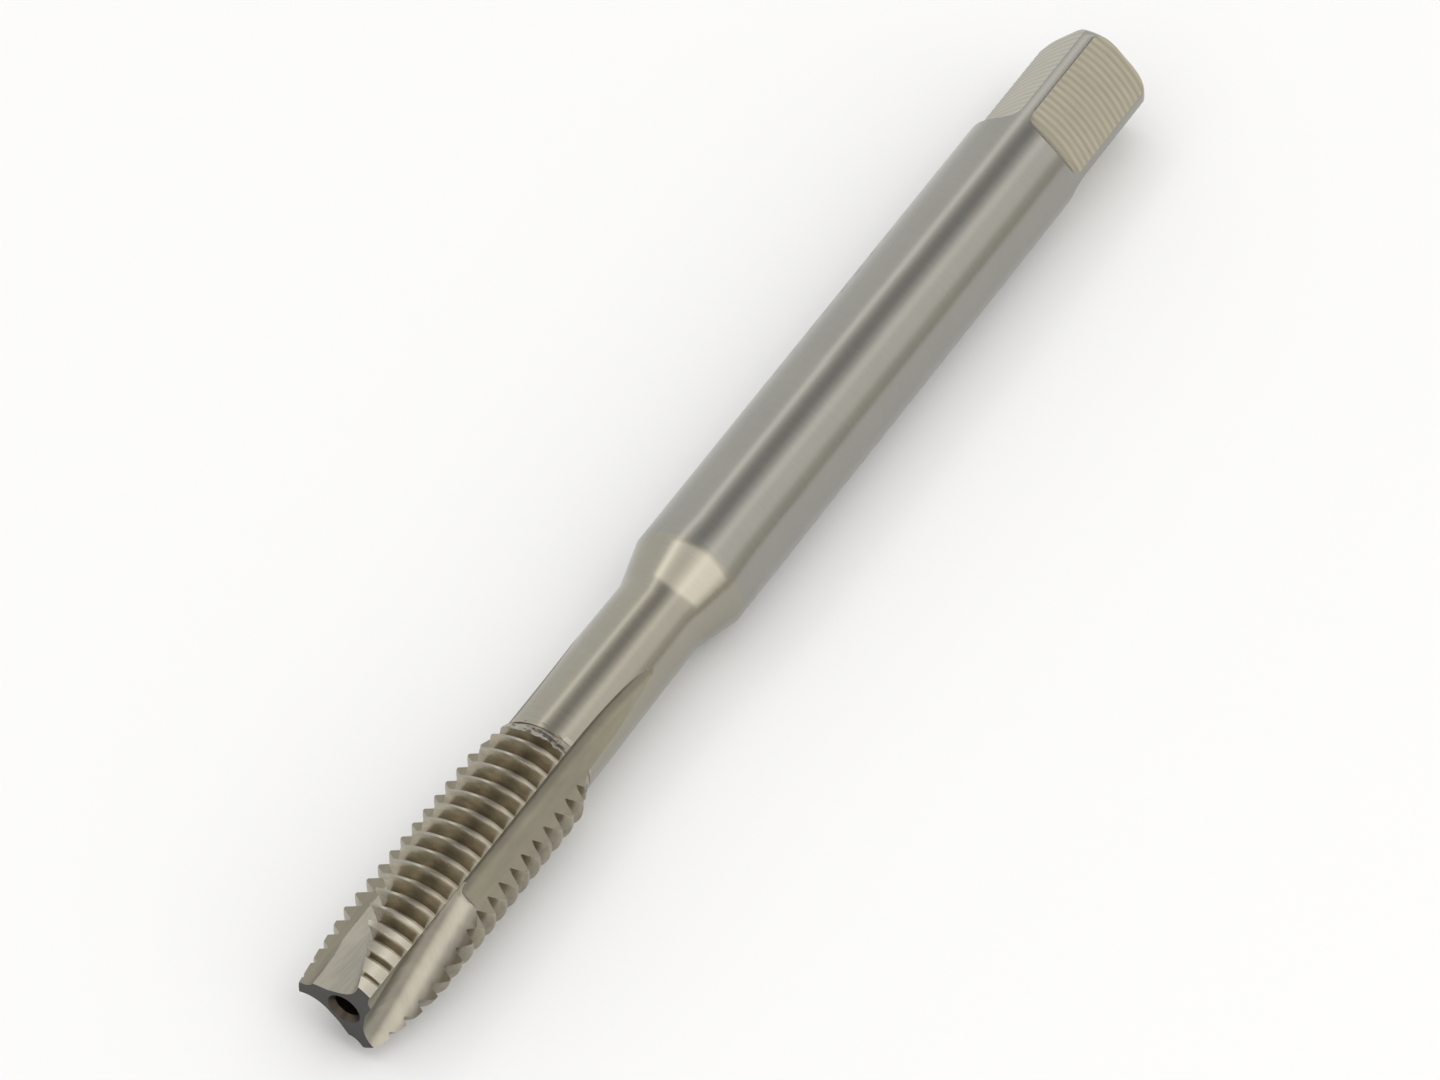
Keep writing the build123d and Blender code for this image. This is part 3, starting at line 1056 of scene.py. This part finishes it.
def steel(name, colour, roughness, direction=LENGTHWISE, across=5000.0, along=500.0, tone=0.12, bump=3e-6,
          stain=0.0, hollow_shade=0.0, wear_and_highlight_amount=0.5, neck=None):
    """A bare steel; the tone is how much lighter or darker its marks are, and clouds half as much."""
    material = bpy.data.materials.new(name)
    material.use_nodes = True
    tree = material.node_tree
    shader = tree.nodes["Principled BSDF"]
    shader.inputs["Metallic"].default_value = 1
    lines = add_node(tree, "ShaderNodeGroup", [
        ("Direction", direction), ("Across", across), ("Along", along)], node_tree=marks).outputs
    shade = (*colour, 1)
    if neck:
        in_neck = stretch(tree, parts_of(tree, object_place(tree))["X"], *CONE_EDGE, 1.0, 0.0)
        shade = mix(tree, in_neck, shade, (*neck, 1))
    if stain:
        shade = lay_over(tree, shade, tint, stain, BROWN)
    level = stretch(tree, lines["Marks"], *MARK_RANGE, 1 - tone, 1 + tone)
    patch = stretch(tree, lines["Clouds"], *MARK_RANGE, 1 - tone / 2, 1 + tone / 2)
    lightness = maths(tree, "MULTIPLY", level, patch)
    grey = add_node(tree, "ShaderNodeCombineColor", [(i, lightness) for i in range(3)]).outputs[0]
    shade = mix(tree, 1.0, shade, grey, "MULTIPLY")
    # Painted shade: the hollows of the milling waves are darkened.
    if hollow_shade:
        shade = lay_over(tree, shade, feed, hollow_shade, HOLLOW_SHADE)
    if neck:
        shade = lay_over(tree, shade, scrapes, 1.0, SCRAPED)
    # Painted highlight and wear: the edges are made lighter.
    shade = lay_over(tree, shade, wear_and_highlight, wear_and_highlight_amount, WORN_AND_HIGHLIGHT)
    tree.links.new(shade, shader.inputs["Base Color"])
    uneven = maths(tree, "MULTIPLY", maths(tree, "SUBTRACT", lines["Marks"], 0.5), MARK_ROUGHNESS)
    tree.links.new(maths(tree, "ADD", roughness, uneven), shader.inputs["Roughness"])
    height = add_node(tree, "ShaderNodeBump", [
        ("Height", lines["Marks"]), ("Strength", 1.0), ("Distance", bump)]).outputs["Normal"]
    tree.links.new(height, shader.inputs["Normal"])
    return material


print("layers that a steel can have:", tint.name, feed.name, scrapes.name, wear_and_highlight.name)

# %% [markdown]
# ## One steel for each machine
# A cylindrical grinder leaves the smoothest steel.  The colours are dark, because what
# a metal shows is mostly its surroundings, and here those are white.

# %% The steels
STEELS = [
    steel("ground_round", (0.31, 0.302, 0.275), 0.21, AROUND, 16000.0, 500.0, 0.04, 0.8e-6,
          neck=(0.33, 0.312, 0.262)),
    steel("thread_flank", (0.37, 0.335, 0.262), 0.25, AROUND, 5000.0, 1200.0, 0.2, 5e-6, stain=0.45),
    steel("milled_flat", (0.40, 0.375, 0.30), 0.3, CROSSWISE, 9000.0, 500.0, 0.10, 3e-6, hollow_shade=0.35),
    steel("flute_wall", (0.245, 0.228, 0.178), 0.48),
    steel("gash_wall", (0.335, 0.315, 0.265), 0.36),
    steel("end_face", (0.070, 0.069, 0.066), 0.4, across=6000.0, along=600.0, bump=2e-6, wear_and_highlight_amount=0.15),
    steel("center_hole", (0.09, 0.075, 0.06), 0.4, AROUND, 8000.0, bump=2e-6, wear_and_highlight_amount=0.1)]
for material in STEELS:
    mesh.materials.append(material)
print("finishes:", [material.name for material in STEELS])

# %% [markdown]
# ## The camera
# A long lens from half a metre away shows the tap with little perspective.  The camera
# is placed by the direction it looks from, which is easier to adjust than coordinates.

# %% Camera
AZIMUTH, ELEVATION, ROLL = -147.975, 50.650, -0.249
CAMERA_DISTANCE = 0.49552
LENS = 197.1
aim = Vector((0.04274, 0, 0))
level, rise = cos_sin(ELEVATION)
cosine, sine = cos_sin(AZIMUTH)
away = Vector((level * cosine, level * sine, rise))
camera_data = bpy.data.cameras.new("camera")
camera_data.sensor_width = 36
camera_data.lens = LENS
camera_data.clip_start = 0.01
camera = bpy.data.objects.new("camera", camera_data)
bpy.context.scene.collection.objects.link(camera)
look = (-away).to_track_quat("-Z", "Y").to_matrix().to_4x4() @ Matrix.Rotation(np.radians(ROLL), 4, "Z")
camera.matrix_world = Matrix.Translation(aim + away * CAMERA_DISTANCE) @ look
bpy.context.scene.camera = camera
print("camera at", np.round(camera.matrix_world.translation, 3), "m")

# %% [markdown]
# ## The white table
# The table keeps the tap's soft shadow.  The tap lies on it on its shank, so its height
# is the frame's lowest point, and it reaches so far that its border is never seen.

# %% Floor
FLOOR_HALF = 3.0
WHITE = 0.88, 0.88, 0.88, 1
floor_mesh = bpy.data.meshes.new("floor")
floor_corners = FLOOR_HALF * np.array([(-1, -1, 0), (1, -1, 0), (1, 1, 0), (-1, 1, 0)])
floor_mesh.from_pydata(floor_corners.tolist(), [], [(0, 1, 2, 3)])
floor = bpy.data.objects.new("floor", floor_mesh)
bpy.context.scene.collection.objects.link(floor)
floor.location = (0, 0, cad_low[2])
white = bpy.data.materials.new("white_table")
white.use_nodes = True
shader = white.node_tree.nodes["Principled BSDF"]
shader.inputs["Base Color"].default_value = WHITE
shader.inputs["Roughness"].default_value = 1.0
shader.inputs["Specular IOR Level"].default_value = 0
floor_mesh.materials.append(white)
print("table at", round(cad_low[2] / MM, 2), "mm")

# %% [markdown]
# ## The room
# A round bar of bare steel shows its surroundings as bands along its length.  They are
# easiest to place when the room is drawn by its angle round the X axis: mostly white,
# with a dark gap straight above and a dimmer side, and darker in front of the tip.  Only
# mirrored rays see this room.  Other light is an even grey, and the camera sees white.

# %% World
ROOM = [(0, (0.98, 0.99, 0.99)), (45, (1.0, 1.0, 0.98)), (64, (0.97, 0.96, 0.93)),
        (76, (0.50, 0.49, 0.48)), (90, (0.44, 0.43, 0.43)), (101, (0.78, 0.77, 0.76)),
        (109, (1.0, 0.98, 0.96)), (150, (1.0, 0.98, 0.94)), (166, (0.72, 0.70, 0.64)),
        (180, (0.62, 0.60, 0.52))]
FRONT_START, FRONT_END, FRONT_LEVEL = -0.55, -0.9, 0.45
PLAIN_LIGHT = 0.82, 0.82, 0.82, 1
world = bpy.data.worlds.new("studio")
bpy.context.scene.world = world
world.use_nodes = True
tree = world.node_tree
direction = add_node(tree, "ShaderNodeTexCoord").outputs["Generated"]
parts = parts_of(tree, direction)
half_turns = maths(tree, "DIVIDE", maths(tree, "ARCTAN2", parts["Z"], parts["Y"]), float(np.pi))
ramp = add_node(tree, "ShaderNodeValToRGB", [("Fac", half_turns)])
stops = ramp.color_ramp.elements
stops[0].position, stops[-1].position = ROOM[0][0] / 180, ROOM[-1][0] / 180
for degrees, _ in ROOM[1:-1]:
    stops.new(degrees / 180)
for stop, (_, colour) in zip(stops, ROOM):
    stop.color = (*colour, 1)
not_in_front = stretch(tree, parts["X"], FRONT_END, FRONT_START, FRONT_LEVEL, 1.0)
room = mix(tree, not_in_front, (0, 0, 0, 1), ramp.outputs["Color"])
path = add_node(tree, "ShaderNodeLightPath").outputs
seen = mix(tree, path["Is Glossy Ray"], PLAIN_LIGHT, room)
seen = mix(tree, path["Is Camera Ray"], seen, (1, 1, 1, 1))
tree.links.new(seen, tree.nodes["Background"].inputs["Color"])
tree.nodes["Background"].inputs["Strength"].default_value = 1.0
print("stops of the room:", len(stops))

# %% [markdown]
# ## The lamps
# Long lamps parallel to the tap make the bright bands and the soft shadow, as strip
# lights do in a studio, and a small one in front lights the flanks that face the tip.
# Each is given by its radiance, so that its size can change and not its brightness: the
# power is pi times radiance and area.

# %% Lamps
STRIPS = [
    ("thin_strip", 57, 0.6, 0.4, (1.6, 0.11), 0.66, (1.0, 0.99, 0.96)),
    ("broad_strip", 131, 0.6, 0.4, (1.6, 0.56), 0.18, (1.0, 0.98, 0.95)),
    ("inner_strip", 117, 0.55, 0.4, (1.6, 0.12), 0.25, (1.0, 0.98, 0.95)),
    ("overhead", 105, 0.6, 0.0, (0.33, 2.0), 0.80, (1.0, 0.98, 0.94))]
FRONT_PLACE = Vector((-0.6, -0.01, 0.06))


def area_lamp(name, place, axes, size, radiance, colour):
    """A lamp that shines against the third of its axes, with its sizes along the first two."""
    data = bpy.data.lights.new(name, "AREA")
    data.shape = "RECTANGLE"
    data.size, data.size_y = size
    data.energy = np.pi * radiance * size[0] * size[1]
    data.color = colour
    lamp = bpy.data.objects.new(name, data)
    bpy.context.scene.collection.objects.link(lamp)
    lamp.matrix_world = Matrix.Translation(place) @ Matrix(axes).transposed().to_4x4()


for name, degrees, distance, middle_x, size, radiance, colour in STRIPS:
    cosine, sine = cos_sin(degrees)
    outward = Vector((0, cosine, sine))
    axes = ((1, 0, 0), (0, sine, -cosine), outward)
    area_lamp(name, Vector((middle_x, 0, 0)) + outward * distance, axes, size, radiance, colour)
area_lamp("front", FRONT_PLACE, ((0, 0, 1), (0, 1, 0), (-1, 0, 0)), (0.20, 0.16), 1.8, (1.0, 0.96, 0.9))
print("lamps:", [name for name, *_ in STRIPS] + ["front"])

# %% [markdown]
# ## The view, and the end
# The dressed tap is as large as the plain solid, since its sizes come from the frame.  Its colours are
# shown with the Standard view transform.

# %% The view transform
bpy.context.scene.view_settings.view_transform = "Standard"
